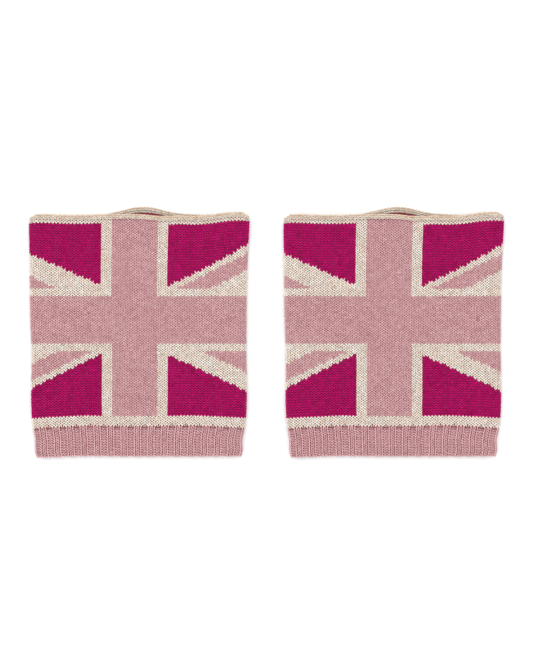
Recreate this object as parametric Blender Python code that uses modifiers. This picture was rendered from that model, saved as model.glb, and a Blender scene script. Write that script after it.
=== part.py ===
# A pair of knitted sock cuffs lying side by side: two short tubes of knitting, flattened,
# each with a ribbed hem and a rolled top edge.
# Metres. +X runs across the pair, +Y from the hems to the rolled edges, +Z up. The cuffs lie on z = 0.

import math
from collections import namedtuple

import bmesh
import bpy
import numpy as np

MM = 0.001

# Driving sizes
CUFF_SPACING = 190.6 * MM  # between the middles of the two cuffs
MIDDLE_HEIGHT = 92.35 * MM  # from the hem to the origin, half of the pair's height
RIB_HEIGHT = 22.6 * MM  # of the rib band
TOP_HEIGHT = 178.0 * MM  # at which the rolled edge's folds are read
BODY_WALL = 2.0 * MM  # thickness of the plain knitting
RIB_WALL = 2.5 * MM  # thickness of the rib band at a raised rib
RECESS_SHARE = 0.62  # of RIB_WALL, left between two ribs
RIBS_PER_FACE = 16
ROLL_RADIUS = 1.9 * MM  # of the rolled edge
SEAM_GAP = 0.3 * MM  # between pieces that are joined
ROLL_GAP = 0.4 * MM  # between a panel and the rolled edge above it

# Side folds
FOLD_RADIUS = 3.0 * MM  # of a fold seen from the hem, outside
FOLD_ARC = FOLD_RADIUS * math.pi / 2  # length of half a fold
FOLD_STRAIGHT = 0.2 * MM  # upright stretch beside the seam
FOLD_EASE = 20.0 * MM  # across which the front sinks from its fold to its flat middle
ROLL_TURN_RADIUS = 2.2 * MM  # of the rolled edge's middle line as it turns over a fold
CORNER_DROP = 2.2 * MM  # how much lower the rolled edge lies at its folds
CORNER_REACH = 4.0 * MM  # across which it drops
RIB_FACE_WIDTH = 155.0 * MM  # width on which the ribs are spaced
BODY_FACE_WIDTH = 162.0 * MM

# One rib and the recess beside it, in quarters of their pitch: where the wall is thick and thin
RibPoint = namedtuple("RibPoint", "quarter raised")
RIB_PROFILE = (
    RibPoint(quarter=-0.15, raised=0.0),
    RibPoint(quarter=0.3, raised=1.0),
    RibPoint(quarter=2.0, raised=1.0),
    RibPoint(quarter=2.45, raised=0.0),
)
RIB_START = 2.55  # quarters of a pitch from the left seam to the first rib

# The tube at several heights above the hem, in millimetres: how far its folds lie to the left and
# right of its middle, and how thick the two layers are together at the folds and between them
Section = namedtuple("Section", "height left right fold middle")
SECTIONS = (
    Section(0.0, 77.3, 76.4, 5.8, 5.4),
    Section(2.5, 77.9, 77.2, 6.2, 5.8),
    Section(13.5, 78.4, 77.4, 6.2, 5.8),
    Section(18.0, 79.2, 78.4, 6.2, 5.7),
    Section(22.6, 80.1, 79.5, 6.0, 5.5),
    Section(33.0, 80.9, 80.3, 5.8, 4.9),
    Section(78.0, 80.9, 80.3, 5.8, 4.8),
    Section(96.0, 81.6, 80.3, 5.8, 4.8),
    Section(114.0, 82.1, 80.5, 5.8, 4.8),
    Section(141.0, 82.4, 81.1, 5.8, 4.8),
    Section(159.0, 82.6, 81.9, 6.0, 5.0),
    Section(171.0, 82.7, 82.6, 6.8, 6.2),
    Section(180.0, 82.5, 82.8, 7.4, 7.0),
)

# The lines that run across a cuff, in millimetres above the nominal hem: the hem itself, the seam of
# rib and body, and the middle of the rolled edge on the front and on the back
Line = namedtuple("Line", "across hem seam front back")
LINES = (
    Line(-80.0, -0.7, 20.8, 179.6, 179.3),
    Line(-68.0, -0.6, 21.6, 179.4, 179.1),
    Line(-55.0, 0.0, 22.2, 178.9, 178.6),
    Line(-40.0, 0.3, 23.0, 178.9, 178.7),
    Line(-25.0, 0.2, 22.8, 179.4, 179.7),
    Line(-14.0, 0.0, 22.7, 179.5, 181.5),
    Line(-4.0, 0.0, 22.7, 179.6, 183.7),
    Line(4.0, 0.0, 22.7, 179.2, 184.2),
    Line(12.0, 0.0, 22.7, 178.3, 183.4),
    Line(20.0, 0.0, 22.8, 178.1, 181.6),
    Line(30.0, 0.0, 23.0, 178.5, 180.2),
    Line(42.0, 0.0, 23.0, 178.2, 179.5),
    Line(54.0, 0.0, 22.5, 179.0, 179.3),
    Line(65.0, 0.1, 22.0, 180.6, 180.3),
    Line(80.0, 0.2, 21.1, 181.3, 181.0),
)

# How finely the solids are divided
BODY_FLAT_STEPS = 16
ROLL_FLAT_STEPS = 34
FOLD_STEPS = 4
CORNER_STEPS = (2.0 * MM, 4.5 * MM)  # extra divisions of the body beside its folds
BODY_LEVELS = (0.0, 0.06, 0.16, 0.3, 0.45, 0.6, 0.74, 0.86, 0.94, 1.0)
RIB_LEVELS = (0.0, 0.11, 0.6, 1.0)

Yarn = namedtuple("Yarn", "color roughness")
YARNS = {
    "body": Yarn((0.33, 0.012, 0.094), 0.85),
    "rib": Yarn((0.54, 0.30, 0.31), 0.85),
    "roll": Yarn((0.73, 0.61, 0.50), 0.85),
}


def clear_scene():
    for old in list(bpy.data.objects):
        bpy.data.objects.remove(old, do_unlink=True)


def smooth_value(x, table, key, column):
    """Reads a column of a table at x on a smooth curve through its rows, in metres."""
    xs = np.array([getattr(row, key) for row in table]) * MM
    ys = np.array([getattr(row, column) for row in table]) * MM
    x = min(max(x, xs[0]), xs[-1])
    slopes = np.gradient(ys, xs)
    i = min(int(np.searchsorted(xs, x, side="right")) - 1, len(xs) - 2)
    span = xs[i + 1] - xs[i]
    t = (x - xs[i]) / span
    start = (1 + 2 * t) * (1 - t) ** 2 * ys[i] + t * (1 - t) ** 2 * span * slopes[i]
    end = t * t * (3 - 2 * t) * ys[i + 1] - t * t * (1 - t) * span * slopes[i + 1]
    return float(start + end)


def section(height, column):
    return smooth_value(height, SECTIONS, "height", column)


def line(across, column):
    return smooth_value(across, LINES, "across", column)


def ease(t):
    t = min(max(t, 0.0), 1.0)
    return t * t * (3 - 2 * t)


# A station is a place on the way across one face, from the seam in its left fold to the seam in its
# right fold: climb is 0 at a seam and 1 where the upright stretch ends, turn is the angle round the
# fold, and flat is the share of the way across between the folds.
Station = namedtuple("Station", "flat turn climb")


def face_path(face_width):
    """Length of the way round a face of the given width, from seam to seam."""
    return face_width - 2 * FOLD_RADIUS + 2 * (FOLD_STRAIGHT + FOLD_ARC)


def station_at(share, face_width):
    """The station at a share of the way round a face of the given width."""
    end = float(share > 0.5)
    near = min(share, 1 - share) * face_path(face_width)
    if near < FOLD_STRAIGHT:
        return Station(end, 0.0, near / FOLD_STRAIGHT)
    if near < FOLD_STRAIGHT + FOLD_ARC:
        return Station(end, (near - FOLD_STRAIGHT) / FOLD_RADIUS, 1.0)
    across = (near - FOLD_STRAIGHT - FOLD_ARC) / (face_width - 2 * FOLD_RADIUS)
    return Station(1 - across if end else across, math.pi / 2, 1.0)


def fold_shares(face_width):
    """Shares of the way round a face at which its folds are divided, left then right."""
    steps = [FOLD_STRAIGHT + FOLD_ARC * i / FOLD_STEPS for i in range(FOLD_STEPS + 1)]
    left = [0.0] + [step / face_path(face_width) for step in steps]
    return left, [1 - share for share in reversed(left)]


def beside_fold(station, radius):
    """How far a station in a fold of this radius lies from where the fold starts, to the right."""
    outward = radius * math.cos(station.turn)
    return outward if station.flat > 0.5 else -outward


def face_x(station, height, inset=0.0):
    """Where a station lies across the cuff; inset is its depth in the wall."""
    left = -section(height, "left") + FOLD_RADIUS
    right = section(height, "right") - FOLD_RADIUS
    return left + (right - left) * station.flat + beside_fold(station, FOLD_RADIUS - inset)


def face_z(station, height, side, inset):
    """Height off the surface: side is 1 on the front and -1 on the back."""
    fold = section(height, "fold")
    upright = SEAM_GAP / 2 + FOLD_STRAIGHT * station.climb
    rise = (fold / 2 - inset - SEAM_GAP / 2 - FOLD_STRAIGHT) * math.sin(station.turn)
    sink = 0.0
    if side > 0:
        flat_width = section(height, "left") + section(height, "right") - 2 * FOLD_RADIUS
        from_fold = flat_width * min(station.flat, 1 - station.flat)
        sink = (fold - section(height, "middle")) * ease(from_fold / FOLD_EASE)
    return fold / 2 + side * (upright + rise - sink)


def roll_height(x, side, clear):
    """Height above the hem of the rolled edge's middle line at x. Its corners drop over a stretch that
    starts clear of the folds."""
    inward = min(x + section(TOP_HEIGHT, "left"), section(TOP_HEIGHT, "right") - x)
    drop = CORNER_DROP * (1 - ease((inward - clear) / CORNER_REACH))
    return line(x, "front" if side > 0 else "back") - drop


def sheet_object(name, stations, levels, side, inset, low_at, high_at):
    """An open sheet over one face, between the heights that low_at and high_at give for a station."""
    if side < 0:
        stations = stations[::-1]
    columns = len(stations) - 1
    rows = len(levels) - 1
    mesh = bpy.data.meshes.new(name)
    bm = bmesh.new()
    bmesh.ops.create_grid(bm, x_segments=columns, y_segments=rows, size=0.5)
    for vert in bm.verts:
        station = stations[round((vert.co.x + 0.5) * columns)]
        level = levels[round((vert.co.y + 0.5) * rows)]
        height = low_at(station) * (1 - level) + high_at(station) * level
        x = face_x(station, height, inset)
        vert.co = (x, height - MIDDLE_HEIGHT, face_z(station, height, side, inset))
    bm.normal_update()
    bm.to_mesh(mesh)
    bm.free()
    return bpy.data.objects.new(name, mesh)


def thicken(obj, wall, outward, group=None):
    """Gives an open sheet its wall. With a group, the wall's thickness follows the group's weights."""
    solidify = obj.modifiers.new("wall", "SOLIDIFY")
    solidify.thickness = wall
    solidify.offset = 1.0 if outward else -1.0
    solidify.use_even_offset = True
    if group:
        solidify.vertex_group = group.name
        solidify.thickness_vertex_group = 0.0
    return obj


def body_panel(name, side):
    left, right = fold_shares(BODY_FACE_WIDTH)
    corners = [step / face_path(BODY_FACE_WIDTH) for step in CORNER_STEPS]
    left += [left[-1] + corner for corner in corners]
    right = [right[0] - corner for corner in reversed(corners)] + right
    between = np.linspace(left[-1], right[0], BODY_FLAT_STEPS + 1)[1:-1]

    def low_at(station):
        return line(face_x(station, RIB_HEIGHT), "seam") + SEAM_GAP / 2

    def high_at(station):
        x = face_x(station, TOP_HEIGHT)
        return roll_height(x, side, 2 * ROLL_RADIUS) - ROLL_RADIUS - ROLL_GAP

    stations = [station_at(share, BODY_FACE_WIDTH) for share in left + list(between) + right]
    panel = sheet_object(name, stations, BODY_LEVELS, side, 0.0, low_at, high_at)
    return thicken(panel, BODY_WALL, outward=False)


def raised_share(share):
    """How far the rib band's outside stands out at a share of the way round: 1 on a rib, 0 in a recess."""
    quarter = (share * 4 * RIBS_PER_FACE - RIB_START + 0.5) % 4 - 0.5
    return float(
        np.interp(
            quarter,
            [point.quarter for point in RIB_PROFILE],
            [point.raised for point in RIB_PROFILE],
        )
    )


def rib_band(name, side):
    left, right = fold_shares(RIB_FACE_WIDTH)
    edges = [
        (RIB_START + 4 * rib + point.quarter) / (4 * RIBS_PER_FACE)
        for rib in range(-1, RIBS_PER_FACE)
        for point in RIB_PROFILE
    ]
    if side < 0:
        edges = [1 - share for share in edges]
    shares = sorted(set(left + right + [share for share in edges if 0.002 < share < 0.998]))

    def low_at(station):
        return line(face_x(station, RIB_HEIGHT), "hem")

    def high_at(station):
        return line(face_x(station, RIB_HEIGHT), "seam") - SEAM_GAP / 2

    stations = [station_at(share, RIB_FACE_WIDTH) for share in shares]
    band = sheet_object(name, stations, RIB_LEVELS, side, RIB_WALL, low_at, high_at)
    group = band.vertex_groups.new(name="ribs")
    columns = len(shares)
    for index in range(len(band.data.vertices)):
        share = shares[index % columns]
        if side < 0:
            share = 1 - shares[columns - 1 - index % columns]
        weight = RECESS_SHARE + (1 - RECESS_SHARE) * raised_share(share)
        group.add([index], weight, "REPLACE")
    return thicken(band, RIB_WALL, outward=True, group=group)


def roll_curve(name, side):
    """The rolled edge: a round bead over one face that turns down into both folds."""
    turn_steps = [math.pi / 2 * i / FOLD_STEPS for i in range(FOLD_STEPS)]
    stations = [Station(0.0, 0.0, 0.0)]
    stations += [Station(0.0, turn, 1.0) for turn in turn_steps]
    stations += [Station(i / ROLL_FLAT_STEPS, math.pi / 2, 1.0) for i in range(ROLL_FLAT_STEPS + 1)]
    stations += [Station(1.0, turn, 1.0) for turn in reversed(turn_steps)]
    stations += [Station(1.0, 0.0, 0.0)]
    middle = ROLL_RADIUS + ROLL_TURN_RADIUS
    left = -section(TOP_HEIGHT, "left") + middle
    right = section(TOP_HEIGHT, "right") - middle
    curve = bpy.data.curves.new(name, "CURVE")
    curve.dimensions = "3D"
    curve.bevel_depth = ROLL_RADIUS
    curve.bevel_resolution = 2
    curve.use_fill_caps = True
    spline = curve.splines.new("POLY")
    spline.points.add(len(stations) - 1)
    for point, station in zip(spline.points, stations):
        x = left + (right - left) * station.flat + beside_fold(station, ROLL_TURN_RADIUS)
        upright = SEAM_GAP / 2 + FOLD_STRAIGHT * station.climb
        lift = upright + (ROLL_TURN_RADIUS - SEAM_GAP / 2 - FOLD_STRAIGHT) * math.sin(station.turn)
        height = roll_height(x, side, ROLL_RADIUS)
        point.co = (x, height - MIDDLE_HEIGHT, middle + side * lift, 1.0)
    return bpy.data.objects.new(name, curve)


def yarn_material(kind):
    yarn = YARNS[kind]
    material = bpy.data.materials.new(f"{kind}_yarn")
    material.use_nodes = True
    shader = material.node_tree.nodes["Principled BSDF"]
    shader.inputs["Base Color"].default_value = (*yarn.color, 1.0)
    shader.inputs["Roughness"].default_value = yarn.roughness
    shader.inputs["Metallic"].default_value = 0.0
    material.diffuse_color = (*yarn.color, 1.0)
    return material


def build_pair():
    pair = bpy.data.collections.new("sock_cuffs")
    bpy.context.scene.collection.children.link(pair)
    makers = {"body": body_panel, "rib": rib_band, "roll": roll_curve}
    materials = {kind: yarn_material(kind) for kind in makers}
    for cuff, sign in (("left", -1), ("right", 1)):
        holder = bpy.data.objects.new(f"cuff_{cuff}", None)
        holder.location.x = sign * CUFF_SPACING / 2
        pair.objects.link(holder)
        for face, side in (("front", 1), ("back", -1)):
            for kind, make in makers.items():
                piece = make(f"cuff_{cuff}_{face}_{kind}", side)
                piece.data.materials.append(materials[kind])
                piece.parent = holder
                pair.objects.link(piece)


clear_scene()
build_pair()
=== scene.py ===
import bpy
import numpy as np
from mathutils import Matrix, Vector


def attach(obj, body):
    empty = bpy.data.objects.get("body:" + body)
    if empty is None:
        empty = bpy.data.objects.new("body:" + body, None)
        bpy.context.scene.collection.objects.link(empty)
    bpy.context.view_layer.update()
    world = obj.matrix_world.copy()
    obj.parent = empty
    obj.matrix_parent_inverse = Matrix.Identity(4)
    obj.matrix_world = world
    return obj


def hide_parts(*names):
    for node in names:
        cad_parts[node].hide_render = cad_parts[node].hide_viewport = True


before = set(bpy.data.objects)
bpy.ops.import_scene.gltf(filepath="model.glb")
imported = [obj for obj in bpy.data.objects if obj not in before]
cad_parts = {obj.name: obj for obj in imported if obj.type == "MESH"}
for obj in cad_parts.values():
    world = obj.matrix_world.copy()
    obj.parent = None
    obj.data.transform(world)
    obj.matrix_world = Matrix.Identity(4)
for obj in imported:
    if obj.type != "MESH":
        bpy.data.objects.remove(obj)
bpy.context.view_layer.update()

# A pair of knitted cuffs, laid flat: every stitch that shows is modelled over a thin backing.
# Sizes are in millimetres, apart from those of the stage. The meshes are made in metres.
mm = 0.001
chance = np.random.default_rng(7)


def table(names, *rows):  # an array for each named column
    return dict(zip(names.split(), np.array(rows, dtype=float).T))


def readCurve(rows, key, column, at):  # a smooth curve through a column of a table
    xs, ys = rows[key], rows[column]
    at = np.clip(at, xs[0], xs[-1])
    slopes = np.gradient(ys, xs)
    i = np.clip(np.searchsorted(xs, at, side="right") - 1, 0, len(xs) - 2)
    span = xs[i + 1] - xs[i]
    t = (at - xs[i]) / span
    start = (1 + 2 * t) * (1 - t) ** 2 * ys[i] + t * (1 - t) ** 2 * span * slopes[i]
    end = t * t * (3 - 2 * t) * ys[i + 1] - t * t * (1 - t) * span * slopes[i + 1]
    return start + end


def ease(t):
    t = np.clip(t, 0, 1)
    return t * t * (3 - 2 * t)


# The form of a cuff, as its solids have it
cuff = dict(
    spacing=190.6,  # between the middles of the two cuffs
    middleHeight=92.35,  # of the frame's origin above the hem
    ribHeight=22.6,
    topHeight=178.0,  # where the mouth's folds are read
    bodyWidth=162.0,  # on which the body's columns are spaced
    ribWidth=155.0,  # and the rib's
    foldRadius=3.0,
    foldStraight=0.2,  # upright stretch where front and back meet
    foldEase=20.0,  # across which the front sinks from its folds
    rollRadius=1.9,
    rollTurn=2.2,  # radius on which the rolled edge turns over a fold
    cornerDrop=2.2,  # of the rolled edge at its folds
    cornerReach=4.0,  # across which it drops
    columns=64,  # of stitches on each face
    lean=0.9,  # of the columns to the right in the middle of a face
)
# How far the folds lie from the middle, and the two layers' thickness at the folds and between
sections = table(
    "height left right fold middle",
    (0.0, 77.3, 76.4, 5.8, 5.4),
    (2.5, 77.9, 77.2, 6.2, 5.8),
    (13.5, 78.4, 77.4, 6.2, 5.8),
    (18.0, 79.2, 78.4, 6.2, 5.7),
    (22.6, 80.1, 79.5, 6.0, 5.5),
    (33.0, 80.9, 80.3, 5.8, 4.9),
    (78.0, 80.9, 80.3, 5.8, 4.8),
    (96.0, 81.6, 80.3, 5.8, 4.8),
    (114.0, 82.1, 80.5, 5.8, 4.8),
    (141.0, 82.4, 81.1, 5.8, 4.8),
    (159.0, 82.6, 81.9, 6.0, 5.0),
    (171.0, 82.7, 82.6, 6.8, 6.2),
    (180.0, 82.5, 82.8, 7.4, 7.0),
)
# Heights of the lines that run across a cuff: its hem, its seam, and the rolled edge's middle line on
# the front and on the back, which arches up a little more than its solid does
lines = table(
    "across hem seam front back",
    (-80.0, -0.7, 20.8, 179.6, 179.3),
    (-68.0, -0.6, 21.6, 179.4, 179.1),
    (-55.0, 0.0, 22.2, 178.9, 178.6),
    (-40.0, 0.3, 23.0, 178.9, 178.7),
    (-25.0, 0.2, 22.8, 179.4, 179.7),
    (-14.0, 0.0, 22.7, 179.5, 182.0),
    (-4.0, 0.0, 22.7, 179.6, 184.4),
    (4.0, 0.0, 22.7, 179.2, 184.9),
    (12.0, 0.0, 22.7, 178.3, 184.0),
    (20.0, 0.0, 22.8, 178.1, 182.0),
    (30.0, 0.0, 23.0, 178.5, 180.2),
    (42.0, 0.0, 23.0, 178.2, 179.5),
    (54.0, 0.0, 22.5, 179.0, 179.3),
    (65.0, 0.1, 22.0, 180.6, 180.3),
    (80.0, 0.2, 21.1, 181.3, 181.0),
)


def facePath(width, radius):  # way round one face, from fold to fold
    return width - 2 * radius + 2 * (cuff["foldStraight"] + radius * np.pi / 2)


def station(along, width, radius):
    # along runs from the left fold over the front to the right fold, and back over the back
    path = facePath(width, radius)
    along = np.mod(along, 2 * path)
    side = np.where(along < path, 1.0, -1.0)
    across = np.where(along < path, along, 2 * path - along)
    near = np.minimum(across, path - across)
    arc = radius * np.pi / 2
    return dict(
        side=side,
        turn=np.clip((near - cuff["foldStraight"]) / radius, 0, np.pi / 2),
        climb=np.clip(near / cuff["foldStraight"], 0, 1),
        flat=np.clip((across - cuff["foldStraight"] - arc) / (width - 2 * radius), 0, 1),
    )


def acrossAt(at, height, inset=0.0):
    left = cuff["foldRadius"] - readCurve(sections, "height", "left", height)
    right = readCurve(sections, "height", "right", height) - cuff["foldRadius"]
    outward = (cuff["foldRadius"] - inset) * np.cos(at["turn"])
    return left + (right - left) * at["flat"] + np.where(at["flat"] > 0.5, outward, -outward)


def tubePoint(at, height, inset):
    thick = readCurve(sections, "height", "fold", height)
    thin = readCurve(sections, "height", "middle", height)
    width = acrossAt(dict(at, flat=1.0, turn=np.pi / 2), height)
    width = width - acrossAt(dict(at, flat=0.0, turn=np.pi / 2), height)
    fromFold = width * np.minimum(at["flat"], 1 - at["flat"])
    sink = np.where(at["side"] > 0, (thick - thin) * ease(fromFold / cuff["foldEase"]), 0.0)
    upright = cuff["foldStraight"] * at["climb"]
    rise = (thick / 2 - inset - cuff["foldStraight"]) * np.sin(at["turn"])
    z = thick / 2 + at["side"] * (upright + rise - sink)
    return np.stack([acrossAt(at, height, inset), height - cuff["middleHeight"], z], -1)


def edgeLine(x, side):  # height of the rolled edge's middle line
    front = readCurve(lines, "across", "front", x)
    back = readCurve(lines, "across", "back", x)
    return np.where(side > 0, front, back)


def cornerFall(x):  # how much the rolled edge drops at its folds
    left = readCurve(sections, "height", "left", cuff["topHeight"])
    right = readCurve(sections, "height", "right", cuff["topHeight"])
    inward = np.minimum(x + left, right - x) - cuff["rollRadius"]
    return cuff["cornerDrop"] * (1 - ease(inward / cuff["cornerReach"]))


def columnPlace(column, path):
    share = column / cuff["columns"]
    return share * path + cuff["lean"] * np.sin(np.pi * (share % 1))


# Slow waves that hand-feed and washing leave in knitting: their lengths along and up, and their sizes
waves = table(
    "along run phase size",
    (19.0, 31.0, 0.0, 1.0),
    (7.3, -23.0, 1.9, 0.7),
    (3.1, 47.0, 4.2, 0.5),
)


def unevenness(along, run, size):
    return size * sum(
        share * np.sin(along / acrossWave + run / upWave + phase)
        for acrossWave, upWave, phase, share in zip(*waves.values())
    )


def drifted(along, run, sideways, upward, shift):  # the same waves, shifted, move the stitches upward
    along = along + unevenness(along, run, sideways)
    return along, run + unevenness(run + shift, along, upward)


# Strands of yarn, on a tube that is laid out: a path's points are (along, run, inset), which is round
# the tube from its left fold, up it, and in from its outer face. A strand is pointed at both ends, or
# closed on itself where it laps round the tube.
def strands(paths, widths, depths, sides, tone, lap=None):
    count, steps = paths.shape[:2]
    ahead, behind = np.roll(paths, -1, 1), np.roll(paths, 1, 1)
    if lap:
        ahead[:, -1, 0] += lap
        behind[:, 0, 0] -= lap
    else:
        ahead[:, -1], behind[:, 0] = paths[:, -1], paths[:, 0]
    flow = (ahead - behind)[..., :2]
    flow = flow / np.linalg.norm(flow, axis=-1, keepdims=True)
    angle = np.pi * (0.5 + 2 * np.arange(sides) / sides)
    rings = np.repeat(paths[:, :, None, :], sides, 2)
    rings[..., 0] -= flow[..., 1:2] * widths[..., None] * np.cos(angle)
    rings[..., 1] += flow[..., 0:1] * widths[..., None] * np.cos(angle)
    rings[..., 2] -= depths[..., None] * np.sin(angle)
    length = np.linalg.norm(np.diff(paths[..., :2], axis=1), axis=-1)
    length = np.concatenate([np.zeros((count, 1)), np.cumsum(length, 1)], 1)
    yarn = np.zeros(rings.shape)  # length along the strand, turn round it and tone
    yarn[..., 0] = length[..., None]
    yarn[..., 1] = angle / (2 * np.pi)
    yarn[..., 2] = np.broadcast_to(tone, (count, steps))[..., None]
    index = np.arange(steps * sides).reshape(steps, sides)
    if lap:
        index = np.concatenate([index, index[:1]])
        keep = np.arange(steps * sides)
        fans = []
    else:
        keep = np.concatenate([[0], np.arange(sides, (steps - 1) * sides), [steps * sides - 1]])
        first, last, index = index[0, 0], index[-1, -1], index[1:-1]
        fans = [(first, index[0, i - sides + 1], index[0, i]) for i in range(sides)]
        fans += [(index[-1, i], index[-1, i - sides + 1], last) for i in range(sides)]
    quads = [
        (index[k, i], index[k, i - sides + 1], index[k + 1, i - sides + 1], index[k + 1, i])
        for k in range(len(index) - 1)
        for i in range(sides)
    ]
    slot = np.full(steps * sides, -1)  # where a kept point stands in its strand
    slot[keep] = np.arange(len(keep))
    starts = len(keep) * np.arange(count)[:, None, None]
    faces = []
    for kind in (quads, fans):
        if kind:
            corners = slot[np.array(kind)]
            faces.append((starts + corners).reshape(-1, corners.shape[1]))
    points = rings.reshape(count, -1, 3)[:, keep].reshape(-1, 3)
    return dict(points=points, faces=faces, yarn=yarn.reshape(count, -1, 3)[:, keep].reshape(-1, 3))


def joined(parts):
    start, faces = 0, []
    for part in parts:
        for kind in part["faces"]:
            faces += (kind + start).tolist()
        start += len(part["points"])
    return dict(
        points=np.concatenate([part["points"] for part in parts]),
        yarn=np.concatenate([part["yarn"] for part in parts]),
        faces=faces,
    )


def meshPiece(name, points, faces, finish, label, domain, values):
    mesh = bpy.data.meshes.new(name)
    mesh.from_pydata((points * mm).tolist(), [], faces)
    layer = mesh.attributes.new(label, "FLOAT_VECTOR", domain)
    layer.data.foreach_set("vector", values.astype(np.float32).ravel())
    mesh.materials.append(finish)
    mesh.shade_smooth()
    piece = bpy.data.objects.new(name, mesh)
    bpy.context.scene.collection.objects.link(piece)
    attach(piece, "root")
    return piece


def knitPiece(name, parts, place, finish, cuffX):
    knit = joined(parts)
    points = place(*knit["points"].T) + np.array([cuffX, 0, 0])
    points[:, 2] = np.maximum(points[:, 2], 0)  # pressed flat where it rests
    return meshPiece(name, points, knit["faces"], finish, "yarn", "POINT", knit["yarn"])


def backingPiece(name, wall, place, finish, cuffX):
    # a closed tube wall: its outer face goes up the runs and its inner face comes down again
    alongs, runs, path = wall["alongs"], wall["runs"], wall["path"]
    rows = [(run, wall["outer"]) for run in runs] + [(run, wall["inner"]) for run in runs[::-1]]
    grid = np.array([(along, run, inset) for along in alongs for run, inset in rows])
    points = place(*grid.T) + np.array([cuffX, 0, 0])
    count, deep = len(alongs), len(rows)
    faces, chart = [], []
    for i in range(count):
        ahead = (i + 1) % count
        left, right = alongs[i], alongs[ahead] + (0 if ahead else 2 * path)
        for k in range(deep):
            up = (k + 1) % deep
            faces.append([i * deep + k, ahead * deep + k, ahead * deep + up, i * deep + up])
            for along, row in ((left, k), (right, k), (right, up), (left, up)):
                chart.append((along * cuff["columns"] / path, rows[row][0] / wall["rise"], 0))
    return meshPiece(name, points, faces, finish, "chart", "CORNER", np.array(chart))


# Finishes
class Wire:  # a node's output, for use in sums
    def __init__(self, finish, socket):
        self.finish, self.socket = finish, socket

    def maths(self, operation, *others):
        values = dict(enumerate([self, *others]))
        return self.finish.node("ShaderNodeMath", {"operation": operation}, values)

    def __add__(self, other):
        return self.maths("ADD", other)

    def __sub__(self, other):
        return self.maths("SUBTRACT", other)

    def __rsub__(self, other):
        return self.finish.node("ShaderNodeMath", {"operation": "SUBTRACT"}, {0: other, 1: self})

    def __mul__(self, other):
        return self.maths("MULTIPLY", other)

    def __gt__(self, other):
        return self.maths("GREATER_THAN", other)

    def __lt__(self, other):
        return self.maths("LESS_THAN", other)

    def __abs__(self):
        return self.maths("ABSOLUTE")

    __radd__, __rmul__ = __add__, __mul__


class Finish:
    def __init__(self, name):
        self.material = bpy.data.materials.new(name)
        self.material.use_nodes = True
        self.tree = self.material.node_tree
        self.shader = self.tree.nodes["Principled BSDF"]

    def feed(self, socket, value):
        if isinstance(value, Wire):
            self.tree.links.new(value.socket, socket)
        else:
            socket.default_value = value

    def node(self, kind, settings, inputs, output=0):
        node = self.tree.nodes.new(kind)
        for label, value in settings.items():
            setattr(node, label, value)
        for label, value in inputs.items():
            self.feed(node.inputs[label], value)
        return Wire(self, node.outputs[output])

    def mix(self, factor, first, second):  # of two colours
        return self.node("ShaderNodeMix", {"data_type": "RGBA"}, {0: factor, 6: first, 7: second}, 2)

    def readings(self, attribute):  # the three numbers of a mesh's attribute
        vector = self.node("ShaderNodeAttribute", {"attribute_name": attribute}, {}, "Vector")
        first = self.node("ShaderNodeSeparateXYZ", {}, {"Vector": vector})
        return [Wire(self, socket) for socket in first.socket.node.outputs]

    def noise(self, scale, detail):
        place = self.node("ShaderNodeTexCoord", {}, {}, "Object")
        return self.node("ShaderNodeTexNoise", {}, {"Vector": place, "Scale": scale, "Detail": detail})

    def bump(self, height, distance, strength):
        values = {"Height": height, "Distance": distance, "Strength": strength}
        return self.node("ShaderNodeBump", {}, values)

    def shade(self, **values):
        for label, value in values.items():
            self.feed(self.shader.inputs[label.replace("_", " ")], value)
        return self.material


def rgb(red, green, blue):  # a colour as a picture shows it, in shares of 255
    values = []
    for share in (red / 255, green / 255, blue / 255):
        values.append(share / 12.92 if share < 0.04045 else ((share + 0.055) / 1.055) ** 2.4)
    return (*values, 1.0)


# A magenta stitch reaches less far into the next one
yarns = {
    "cream": dict(light=rgb(255, 253, 246), dark=rgb(242, 210, 186), sheen=0.06, halfWidth=0.45, reach=1.0),
    "pink": dict(light=rgb(237, 194, 197), dark=rgb(202, 145, 149), sheen=0.04, halfWidth=0.46, reach=1.0),
    "magenta": dict(light=rgb(222, 28, 130), dark=rgb(166, 0, 84), sheen=0.0, halfWidth=0.42, reach=0.82),
}
rolledYarn = dict(light=rgb(254, 246, 230), dark=rgb(222, 192, 166), sheen=0.06)
# the knitting inside the rolled edge, painted darker as the shade between the roll's bumps
rollInsideShade = dict(light=rgb(214, 174, 150), dark=rgb(184, 140, 118), sheen=0.0)
yarnLook = dict(
    turns=0.9,  # of the twist in a millimetre
    plies=2,
    plyShade=0.06,
    plyRelief=0.5,
    fibreScale=2600,
    fibreDetail=3,
    fibreShade=0.4,
    fibreRelief=0.8,
    fibreRoughness=0.2,
    blotchScale=90,
    blotchDetail=2,
    blotchShade=0.3,
    relief=0.00018,
    reliefStrength=0.7,
    roughness=0.78,
    sheenRoughness=0.5,
    specular=0.06,
)


def yarnFinish(name, yarn):
    finish, look = Finish(name), yarnLook
    along, around, tone = finish.readings("yarn")
    ply = ((along * look["turns"] + around * look["plies"]) * (2 * np.pi)).maths("SINE")
    fibre = finish.noise(look["fibreScale"], look["fibreDetail"])
    blotch = finish.noise(look["blotchScale"], look["blotchDetail"])
    level = tone + (fibre - 0.5) * look["fibreShade"] + ply * look["plyShade"]
    level = level + (blotch - 0.5) * look["blotchShade"]
    relief = ply * look["plyRelief"] + fibre * look["fibreRelief"]
    return finish.shade(
        Base_Color=finish.mix(level.maths("MAXIMUM", 0).maths("MINIMUM", 1), yarn["dark"], yarn["light"]),
        Roughness=look["roughness"] + (fibre - 0.5) * look["fibreRoughness"],
        Normal=finish.bump(relief, look["relief"], look["reliefStrength"]),
        Sheen_Weight=yarn["sheen"],
        Sheen_Roughness=look["sheenRoughness"],
        Specular_IOR_Level=look["specular"],
    )


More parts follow.
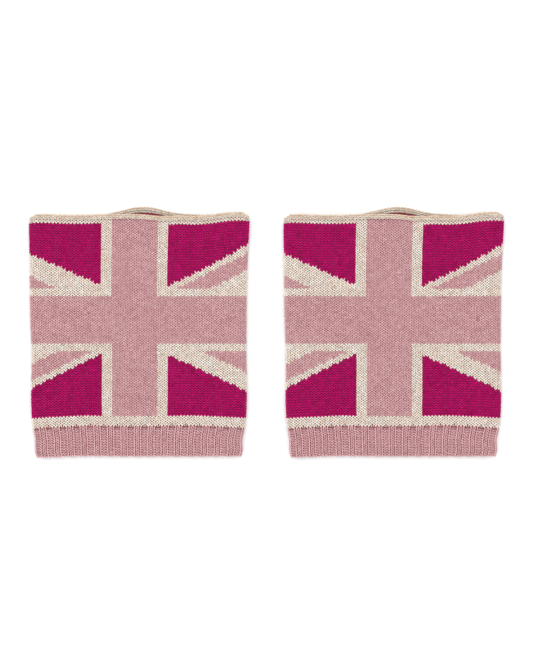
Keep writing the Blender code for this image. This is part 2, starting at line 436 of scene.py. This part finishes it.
# The knitted flag, in stitches, for one face. Its slanting edges are given once, as rows from its
# middle, and turned half way round.
flag = dict(
    middleColumn=30.5,
    middleRow=42.5,
    uprightHalf=6.5,
    levelHalf=9.5,
    edge=3.0,  # cream beside the bars
    bottomBand=4.0,
    topBand=81.0,
    fallStart=14.0,  # at which the dark quarters start beside the upright bar, and their slopes
    fallSlope=0.61,
    riseStart=13.4,
    riseSlope=0.68,
    wedgeTip=20.85,  # the short pink stripe, under the falling edges
    wedgeShift=1.15,  # the upper one starts that much farther out, the lower one nearer in
    wedgeRow=12.6,
    wedgeSlope=0.65,
    stripeTip=16.0,  # the long pink stripe, under the rising edges
    stripeRow=15.2,
    footTip=21.7,
    footRow=12.4,
    stripeSlope=0.65,
)


def flagYarns(column, row):
    # works on arrays and on wires, so the same sums chart the stitches and tint the backing
    u, v = column - flag["middleColumn"], row - flag["middleRow"]
    half = 2 * (v > 0) - 1
    leaning = (u * half) < 0
    out, up = abs(u), abs(v)
    beyond = out - (flag["uprightHalf"] + flag["edge"])
    quarter = beyond > 0
    fall = flag["fallStart"] + beyond * flag["fallSlope"]
    rise = flag["riseStart"] + beyond * flag["riseSlope"]
    magenta = quarter * (leaning * (up > fall) + (1 - leaning) * (up > rise))
    wedgeTip = flag["wedgeTip"] + flag["wedgeShift"] * half
    wedge = up < flag["wedgeRow"] + (out - wedgeTip) * flag["wedgeSlope"]
    top = up < flag["stripeRow"] + (out - flag["stripeTip"]) * flag["stripeSlope"]
    foot = up > flag["footRow"] + (out - flag["footTip"]) * flag["stripeSlope"]
    slants = leaning * wedge + (1 - leaning) * top * foot
    slants = slants * quarter * (up > flag["levelHalf"] + flag["edge"])
    clear = (1 - (out < flag["uprightHalf"])) * (1 - (up < flag["levelHalf"]))
    band = (row > flag["bottomBand"]) * (row < flag["topBand"])
    pink = band * (1 - clear * (1 - slants)) + (row > flag["topBand"]) * (out < flag["uprightHalf"])
    return pink, magenta * band * clear


# The backing shows between the stitches, as the shade that lies there
backing = dict(
    cream=rgb(118, 62, 50),
    pink=rgb(168, 102, 108),
    magenta=rgb(112, 0, 56),
    underRoll=rgb(150, 60, 76),
    ribs=rgb(160, 92, 98),
    betweenRibs=rgb(204, 142, 146),
    seamRows=0.5,  # of the body above the rib, which have the ribs' colour
    ribShade=(-0.5, 2.6),  # columns from a rib's start between which it has the ribs' colour
    waveShare=0.5,  # of the columns' relief in the rows'
    grainScale=1800,
    grainDetail=3,
    relief=0.0003,
    reliefStrength=0.6,
    roughness=0.9,
    sheen=0.1,
)


def backingGrain(finish):
    return finish.noise(backing["grainScale"], backing["grainDetail"])


def backingShade(finish, colour, height):
    return finish.shade(
        Base_Color=colour,
        Roughness=backing["roughness"],
        Normal=finish.bump(height, backing["relief"], backing["reliefStrength"]),
        Sheen_Weight=backing["sheen"],
    )


def bodyBacking():
    finish = Finish("bodyBacking")
    column, row = finish.readings("chart")[:2]
    seam = row < backing["seamRows"]
    column = column.maths("MODULO", cuff["columns"]).maths("FLOOR") + 0.5
    row = row.maths("FLOOR") + 0.5
    pink, magenta = flagYarns(column, row)
    colour = finish.mix(pink, backing["cream"], backing["pink"])
    colour = finish.mix(magenta, colour, backing["magenta"])
    colour = finish.mix(row > flag["topBand"], colour, backing["underRoll"])
    colour = finish.mix(seam, colour, backing["ribs"])
    return backingShade(finish, colour, backingGrain(finish))


def ribBacking():
    finish = Finish("ribBacking")
    column, row = finish.readings("chart")[:2]
    low, high = backing["ribShade"]
    turn = (column - rib["start"] + (rib["repeat"] - low)).maths("MODULO", rib["repeat"])
    colour = finish.mix(turn < high - low, backing["betweenRibs"], backing["ribs"])
    waves = (column * (2 * np.pi)).maths("SINE") * backing["waveShare"] + (row * (2 * np.pi)).maths("SINE")
    return backingShade(finish, colour, waves + backingGrain(finish))


# Stocking stitch. A leg of a stitch runs from its foot up to its shoulder: rows above the stitch's
# floor, the spread from the stitch's middle in columns, how full the yarn is and its middle's inset
legForms = {
    "front": table(
        "climb spread size inset",
        (-0.2, 0.0, 0.35, 0.5),
        (0.175, 0.085, 1.0, 0.5),
        (0.55, 0.25, 1.0, 0.45),
        (0.925, 0.415, 1.0, 0.5),
        (1.3, 0.5, 0.35, 0.5),
    ),
    "back": table(
        "climb spread size inset",
        (-0.2, 0.0, 0.35, 0.6),
        (0.25, 0.11, 1.0, 0.5),
        (0.85, 0.39, 1.0, 0.5),
        (1.3, 0.5, 0.35, 0.6),
    ),
    "overRecess": table(  # the first row, drawn out over the rib's recesses
        "climb spread size inset",
        (-0.35, 0.25, 0.3, 0.8),
        (0.0, 0.26, 0.7, 0.55),
        (0.45, 0.28, 0.65, 0.45),
        (0.925, 0.415, 1.0, 0.5),
        (1.3, 0.5, 0.35, 0.5),
    ),
    "underRoll": table(  # the last row, pulled thin where the edge rolls over
        "climb spread size inset",
        (-0.2, 0.0, 0.3, 0.5),
        (0.175, 0.085, 0.75, 0.5),
        (0.55, 0.25, 0.7, 0.45),
        (0.925, 0.415, 0.75, 0.5),
        (1.3, 0.5, 0.3, 0.5),
    ),
    "ribInner": table(
        "climb spread size inset",
        (-0.2, 0.04, 0.35, 0.5),
        (0.175, 0.15, 1.0, 0.5),
        (0.55, 0.31, 1.0, 0.42),
        (0.925, 0.45, 1.0, 0.45),
        (1.3, 0.51, 0.35, 0.55),
    ),
    "ribOuter": table(  # the legs beside a recess run straight up it
        "climb spread size inset",
        (-0.25, 0.18, 0.5, 0.5),
        (0.175, 0.28, 1.0, 0.38),
        (0.55, 0.37, 1.0, 0.33),
        (0.925, 0.43, 0.95, 0.35),
        (1.3, 0.45, 0.5, 0.45),
    ),
}
yarnSize = dict(
    halfDepth=0.45,
    jitter=0.045,  # of the points of a strand
    uneven=0.08,  # spread of the strands' fullness
    deep=0.7,  # inset past which a strand lies in shade
    deepShade=0.35,
    sides=4,
    backSides=3,
)


def vStitches(middle, floor, tone, pitch, rise, form, yarn, sides, ways=(-1, 1)):
    # two legs for each stitch, from the middle of its foot up and outward
    form, yarn = legForms[form], yarns[yarn]
    legs = []
    for way in ways:
        path = np.empty((len(middle), len(form["climb"]), 3))
        path[..., 0] = middle[:, None] + way * pitch * form["spread"]
        path[..., 1] = floor[:, None] + rise * form["climb"] * yarn["reach"]
        path[..., 2] = form["inset"]
        path += chance.normal(0, yarnSize["jitter"], path.shape)
        size = form["size"] * chance.normal(1, yarnSize["uneven"], (len(middle), 1))
        shade = tone[:, None] - yarnSize["deepShade"] * (form["inset"] > yarnSize["deep"])
        legs.append(strands(path, size * yarn["halfWidth"], size * yarnSize["halfDepth"], sides, shade))
    return legs


def foldedAlongs(path, between, reach=6.0, steps=7):  # places round the tube, closer in its folds
    near = np.linspace(0, reach, steps)
    middle = np.linspace(reach, path - reach, between)
    face = np.concatenate([near[:-1], middle, path - near[-2:0:-1]])
    return np.concatenate([face, face + path])


body = dict(
    length=155.2,  # from the rib to the rolled edge, laid straight
    cut=155.5,  # length of its cloth, with what the seams take up
    rows=83,
    lowShare=0.35,  # of the length that follows the rib's uneven line
    highShare=0.4,  # and the rolled edge's
    cornerRun=5.0,  # below the rolled edge, drawn down at the folds
    underRoll=1.1,  # from the rolled edge's middle line down to the last row's top
    tone=0.62,
    toneSpread=0.12,
    drift=dict(sideways=0.09, upward=0.05, shift=40),
    wall=2.0,
    yarnDepth=1.1,  # of the backing under the stitches' crests
    ends=(-0.2, 0.4),  # how far the backing goes past the length, below and above
    acrossSteps=24,
    upSteps=25,
)
bodyPath = facePath(cuff["bodyWidth"], cuff["foldRadius"])
bodyRise = body["length"] / body["rows"]


def placeBody(along, run, inset):
    at = station(along, cuff["bodyWidth"], cuff["foldRadius"])
    low = readCurve(lines, "across", "seam", acrossAt(at, cuff["ribHeight"]))
    x = acrossAt(at, cuff["topHeight"])
    high = edgeLine(x, at["side"]) - body["underRoll"]
    level = run / body["length"]
    height = cuff["ribHeight"] + run
    height = height + (low - cuff["ribHeight"]) * (1 - ease(level / body["lowShare"]))
    top = cuff["ribHeight"] + body["length"]
    height = height + (high - top) * ease((level - 1 + body["highShare"]) / body["highShare"])
    height = height - cornerFall(x) * ease((run - body["length"]) / body["cornerRun"] + 1)
    return tubePoint(at, height, inset)


def bodyStitches(face, plain, sides):  # one face's stitches, sorted by yarn
    column, row = np.meshgrid(np.arange(cuff["columns"]), np.arange(body["rows"]))
    column, row = column.ravel() + 0.5, row.ravel()
    pink, magenta = flagYarns(column, row + 0.5)
    yarnOf = np.where(magenta > 0, "magenta", np.where(pink > 0, "pink", "cream"))
    middle = columnPlace(column, bodyPath) + bodyPath * face
    middle, floor = drifted(middle, row * bodyRise, **body["drift"])
    tone = np.clip(chance.normal(body["tone"], body["toneSpread"], len(row)), 0, 1)
    fromRecess = np.mod(column - rib["start"], rib["repeat"]) - rib["recessMiddle"]
    overRecess = (row == 0) & (np.abs(fromRecess) < 0.5)
    underRoll = row == body["rows"] - 1
    forms = {"overRecess": overRecess, "underRoll": underRoll, plain: ~(overRecess | underRoll)}
    made = {yarn: [] for yarn in yarns}
    for yarn in yarns:
        for form, places in forms.items():
            chosen = (yarnOf == yarn) & places
            if chosen.any():
                made[yarn] += vStitches(
                    middle[chosen], floor[chosen], tone[chosen], bodyPath / cuff["columns"], bodyRise,
                    form, yarn, sides,
                )
    return made


def knitBody(side, cuffX):
    front = bodyStitches(0, "front", yarnSize["sides"])
    back = bodyStitches(1, "back", yarnSize["backSides"])
    knits = [
        knitPiece(f"{side}_{yarn}_stitches", front[yarn] + back[yarn], placeBody, finishes[yarn], cuffX)
        for yarn in yarns
    ]
    below, above = body["ends"]
    wall = dict(
        alongs=foldedAlongs(bodyPath, body["acrossSteps"]),
        runs=np.linspace(below, body["length"] + above, body["upSteps"]),
        outer=body["yarnDepth"],
        inner=body["wall"],
        path=bodyPath,
        rise=bodyRise,
    )
    bodyCloth = backingPiece(f"{side}_body_cloth", wall, placeBody, finishes["bodyBacking"], cuffX)
    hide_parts(f"cuff_{side}_front_body", f"cuff_{side}_back_body")
    return bodyCloth, knits


# Purl bumps, short arcs that lie across the columns: shares of half their length and of their arch,
# how full the yarn is and its middle's inset
purlForm = table(
    "across lift size inset",
    (-1.0, -0.5, 0.0, 0.9),
    (-0.4, 0.34, 1.0, 0.48),
    (0.4, 0.34, 1.0, 0.48),
    (1.0, -0.5, 0.0, 0.9),
)
purl = dict(
    length=1.15,  # in columns
    arch=0.35,
    toneSpread=0.12,
)


def purlCourses(columns, runs, pitch):  # every other course is half a column along and arches up
    odd = np.arange(len(runs)) % 2
    middle = (columns + 0.5 * odd[:, None]) * pitch
    arch = np.repeat(purl["arch"] * (2 * odd - 1), len(columns))
    return middle.ravel(), np.repeat(runs, len(columns)), arch


def purlBumps(middle, run, arch, tone, pitch, halfWidth):
    path = np.empty((len(middle), len(purlForm["across"]), 3))
    path[..., 0] = middle[:, None] + purlForm["across"] * (purl["length"] * pitch) / 2
    path[..., 1] = run[:, None] + arch[:, None] * purlForm["lift"]
    path[..., 2] = purlForm["inset"]
    path += chance.normal(0, yarnSize["jitter"], path.shape)
    size = purlForm["size"] * chance.normal(1, yarnSize["uneven"], (len(middle), 1))
    shade = np.clip(chance.normal(0, purl["toneSpread"], (len(middle), 1)) + tone[:, None], 0, 1)
    return strands(path, size * halfWidth, size * yarnSize["halfDepth"], yarnSize["sides"], shade)


# The 2x2 rib
rib = dict(
    rows=12,
    repeat=4,  # columns of a rib and its recess
    start=2.55,  # columns from the left fold to the first rib
    slopes=(-0.15, 0.3, 2.0, 2.45),  # columns at which a rib starts, is full, starts to fall and ends
    recess=0.95,  # depth of the recesses between the ribs
    recessMiddle=3.15,  # columns from a rib's start to the middle of its recess
    knitColumns=(0.58, 1.72),  # middles of a rib's two columns
    innerTone=0.6,
    outerHighlightTone=0.85,  # of the legs beside a recess, painted lighter as a highlight
    toneSpread=0.1,
    drift=0.05,
    purlStart=2.5,  # columns from a rib's start to the first bump of its recess
    purlHalf=0.4,
    purlTone=0.95,
    topShadowTone=0.0,  # of the last row, which the body's first row draws in; painted shadow at the tops of the recesses
    wall=2.5,
    yarnDepth=0.9,
    ends=(0.5, 0.3),  # where the backing starts, and how far it goes past the rib's height
    upSteps=6,
    closest=0.05,  # that two of the backing's edges may lie
)
ribPath = facePath(cuff["ribWidth"], cuff["foldRadius"])
ribRise = cuff["ribHeight"] / rib["rows"]
ribPitch = ribPath / cuff["columns"]
ribStarts = rib["start"] + rib["repeat"] * np.arange(2 * cuff["columns"] // rib["repeat"])


def ribRaised(along):
    column = np.mod(along * cuff["columns"] / ribPath - rib["start"] + 0.5, rib["repeat"]) - 0.5
    return np.interp(column, rib["slopes"], (0, 1, 1, 0))


def placeRib(along, run, inset):
    at = station(along, cuff["ribWidth"], cuff["foldRadius"])
    x = acrossAt(at, cuff["ribHeight"])
    low, high = readCurve(lines, "across", "hem", x), readCurve(lines, "across", "seam", x)
    height = low + (high - low) * run / cuff["ribHeight"]
    sunk = rib["recess"] * (1 - ribRaised(along)) * (inset < rib["wall"])  # but for the plain inside
    return tubePoint(at, height, inset + sunk)


def ribKnit():
    legs = []
    for place, outward in zip(rib["knitColumns"], (-1, 1)):
        column, row = np.meshgrid(ribStarts + place, np.arange(rib["rows"]))
        middle, floor = column.ravel() * ribPitch, row.ravel() * ribRise
        middle = middle + unevenness(middle, floor, rib["drift"])
        # the legs beside a recess get a painted highlight, a lighter tone than the inner ones
        for form, way, light in (
            ("ribInner", -outward, rib["innerTone"]),
            ("ribOuter", outward, rib["outerHighlightTone"]),
        ):
            tone = np.clip(chance.normal(light, rib["toneSpread"], len(middle)), 0, 1)
            legs += vStitches(middle, floor, tone, ribPitch, ribRise, form, "pink", yarnSize["sides"], [way])
    return legs


def ribPurl():  # two columns of bumps in each recess, and two courses of them for each row
    columns = ribStarts + rib["purlStart"]
    runs = (np.arange(2 * rib["rows"]) + 0.5) * ribRise / 2
    middle, run, arch = purlCourses(np.concatenate([columns, columns + 1]), runs, ribPitch)
    # painted shadow: the last row's bumps, at the tops of the recesses, are dark
    tone = np.where(run > cuff["ribHeight"] - ribRise, rib["topShadowTone"], rib["purlTone"])
    return purlBumps(middle, run, arch, tone, ribPitch, rib["purlHalf"])


# The cast-on edge, a rope of two strands along the hem
hem = dict(
    stepsInColumn=4,
    height=0.55,
    swing=0.15,  # of the strands up and down
    depth=1.0,
    depthSwing=0.2,  # and in and out
    half=0.5,
    tone=0.15,
)


def hemRope():
    count = 2 * cuff["columns"] * hem["stepsInColumn"]
    along = np.arange(count) * 2 * ribPath / count
    path = np.empty((2, count, 3))
    for strand, shift in enumerate((0, np.pi)):
        wave = np.sin(along * np.pi * cuff["columns"] / ribPath + shift)
        height, depth = hem["height"] + hem["swing"] * wave, hem["depth"] - hem["depthSwing"] * wave
        path[strand] = np.stack([along, height, depth], -1)
    size = np.full((2, count), hem["half"])
    return strands(path, size, size, yarnSize["sides"], hem["tone"], lap=2 * ribPath)


def ribAlongs():  # where the backing's ribs start and end, and its folds
    starts = np.concatenate([ribStarts[:1] - rib["repeat"], ribStarts])
    edges = (starts[:, None] + rib["slopes"]) * ribPitch
    places = np.concatenate([foldedAlongs(ribPath, 2), edges.ravel()])
    places = np.unique(np.round(np.mod(places, 2 * ribPath), 3))
    return places[np.concatenate([[True], np.diff(places) > rib["closest"]])]


def knitRib(side, cuffX):
    parts = ribKnit() + [ribPurl(), hemRope()]
    ribStitches = knitPiece(f"{side}_rib_stitches", parts, placeRib, finishes["pink"], cuffX)
    below, above = rib["ends"]
    wall = dict(
        alongs=ribAlongs(),
        runs=np.linspace(below, cuff["ribHeight"] + above, rib["upSteps"]),
        outer=rib["yarnDepth"],
        inner=rib["wall"],
        path=ribPath,
        rise=ribRise,
    )
    ribCloth = backingPiece(f"{side}_rib_cloth", wall, placeRib, finishes["ribBacking"], cuffX)
    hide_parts(f"cuff_{side}_front_rib", f"cuff_{side}_back_rib")
    return ribCloth, ribStitches


# The rolled edge: purl courses round a bead of knitting
roll = dict(
    width=161.6,
    courses=12,
    half=0.44,
    tone=0.8,
    toneSpread=0.15,
    outerPaintedShade=0.7,  # painted shade: the outer side, at the roll's silhouette, is a little darker
    drift=dict(sideways=0.1, upward=0.12, shift=9),
    swell=0.45,  # how much fuller the back roll is where it arches
    swellReach=22.0,
    swellDrop=0.6,  # share of the swell by which its middle line lies lower
    core=1.5,  # radius of the knitting inside
    coreSteps=220,
    coreSides=8,
    # painted shade: the core is darker still, where it shows between the bumps
    coreTone=0.3,
)
rollPath = facePath(roll["width"], cuff["rollTurn"])


def placeRoll(along, run, inset):
    at = station(along, roll["width"], cuff["rollTurn"])
    middle = cuff["rollRadius"] + cuff["rollTurn"]
    left = middle - readCurve(sections, "height", "left", cuff["topHeight"])
    right = readCurve(sections, "height", "right", cuff["topHeight"]) - middle
    towards = np.where(at["flat"] > 0.5, 1, -1) * np.cos(at["turn"])
    x = left + (right - left) * at["flat"]
    turned = x + towards * cuff["rollTurn"]
    y = edgeLine(turned, at["side"]) - cornerFall(turned)
    swell = roll["swell"] * np.exp(-((turned / roll["swellReach"]) ** 2)) * (at["side"] < 0)
    y = y - roll["swellDrop"] * swell
    radius, around = cuff["rollRadius"] - inset + swell, run / cuff["rollRadius"]
    x = x + towards * (cuff["rollTurn"] + radius * np.cos(around))
    upright = cuff["foldStraight"] * at["climb"]
    rise = (cuff["rollTurn"] - cuff["foldStraight"] + radius * np.cos(around)) * np.sin(at["turn"])
    y = y - cuff["middleHeight"] + radius * np.sin(around)
    return np.stack([x, y, middle + at["side"] * (upright + rise)], -1)


def rollBumps():
    count = 2 * cuff["columns"]
    pitch = 2 * rollPath / count
    runs = np.arange(roll["courses"]) * (2 * np.pi * cuff["rollRadius"] / roll["courses"])
    middle, run, arch = purlCourses(np.arange(count), runs, pitch)
    # painted shade, darker on the bumps of the roll's outer side
    outer = np.maximum(np.sin(run / cuff["rollRadius"]), 0) ** 2
    tone = roll["tone"] - roll["outerPaintedShade"] * outer + chance.normal(0, roll["toneSpread"], len(middle))
    middle, run = drifted(middle, run, **roll["drift"])
    return purlBumps(middle, run, arch, tone, pitch, roll["half"])


def rollCore():
    path = np.zeros((1, roll["coreSteps"], 3))
    path[0, :, 0] = np.arange(roll["coreSteps"]) * 2 * rollPath / roll["coreSteps"]
    path[0, :, 2] = cuff["rollRadius"]
    size = np.full(path.shape[:2], roll["core"])
    return strands(path, size, size, roll["coreSides"], roll["coreTone"], lap=2 * rollPath)


def knitRoll(side, cuffX):
    rolled = knitPiece(f"{side}_rolled_edge", [rollBumps()], placeRoll, finishes["rolledKnit"], cuffX)
    rolledCore = knitPiece(f"{side}_rolled_core", [rollCore()], placeRoll, finishes["rollInsideShade"], cuffX)
    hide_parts(f"cuff_{side}_front_roll", f"cuff_{side}_back_roll")
    return rolled, rolledCore


finishes = {yarn: yarnFinish(f"{yarn}Yarn", yarns[yarn]) for yarn in yarns}
finishes["bodyBacking"], finishes["ribBacking"] = bodyBacking(), ribBacking()
finishes["rolledKnit"] = yarnFinish("rolledKnit", rolledYarn)
finishes["rollInsideShade"] = yarnFinish("rollInsideShade", rollInsideShade)
print("finishes made")

for side, cuffX in (("left", -cuff["spacing"] / 2), ("right", cuff["spacing"] / 2)):
    bodyCloth, knits = knitBody(side, cuffX)
    ribCloth, ribStitches = knitRib(side, cuffX)
    rolls = knitRoll(side, cuffX)
    print(side, "cuff knitted")

# Floor, light and camera. The stage's sizes are in metres, the picture's in millimetres.
stageSet = dict(
    floorSize=6.0,
    floorDrop=0.0001,
    floorColor=(0.92, 0.94, 0.94, 1),
    floorRoughness=0.9,
    floorSpecular=0.1,
    skyColor=(1, 1, 1, 1),
    skyStrength=1.06,
    keyPlace=(-0.12, 0.42, 1.35),
    keySize=0.9,
    keyPower=5.5,
)
picture = dict(
    width=533,
    height=666,
    scale=0.748,  # millimetres to a pixel at the cloth's top
    clothTop=5.2,
    lens=85.0,
    sensor=36.0,  # along the picture's longer side
)


def layFloor():
    bpy.ops.mesh.primitive_plane_add(size=stageSet["floorSize"], location=(0, 0, -stageSet["floorDrop"]))
    floor = bpy.context.object
    floor.name = "floor"
    floor.data.materials.append(
        Finish("whitePaper").shade(
            Base_Color=stageSet["floorColor"],
            Roughness=stageSet["floorRoughness"],
            Specular_IOR_Level=stageSet["floorSpecular"],
        )
    )


def lightStage():
    sky = bpy.data.worlds.new("studio")
    sky.use_nodes = True
    glow = sky.node_tree.nodes["Background"]
    glow.inputs["Color"].default_value = stageSet["skyColor"]
    glow.inputs["Strength"].default_value = stageSet["skyStrength"]
    bpy.context.scene.world = sky
    key = bpy.data.lights.new("softKey", "AREA")
    key.size = stageSet["keySize"]
    key.energy = stageSet["keyPower"]
    keyLamp = bpy.data.objects.new("softKey", key)
    keyLamp.location = stageSet["keyPlace"]
    keyLamp.rotation_euler = (-Vector(stageSet["keyPlace"])).to_track_quat("-Z", "Y").to_euler()
    bpy.context.scene.collection.objects.link(keyLamp)


def placeCamera():  # straight above the pair
    eye = bpy.data.cameras.new("eye")
    eye.lens, eye.sensor_width = picture["lens"], picture["sensor"]
    longSide = max(picture["width"], picture["height"])
    distance = longSide * picture["scale"] * picture["lens"] / picture["sensor"]
    camera = bpy.data.objects.new("eye", eye)
    camera.location = (0, 0, (distance + picture["clothTop"]) * mm)
    bpy.context.scene.collection.objects.link(camera)
    bpy.context.scene.camera = camera


layFloor()
lightStage()
placeCamera()
bpy.context.scene.view_settings.view_transform = "Standard"
bpy.context.scene.cycles.denoising_prefilter = "NONE"  # or stitches two pixels high are smoothed away
print("stage set")
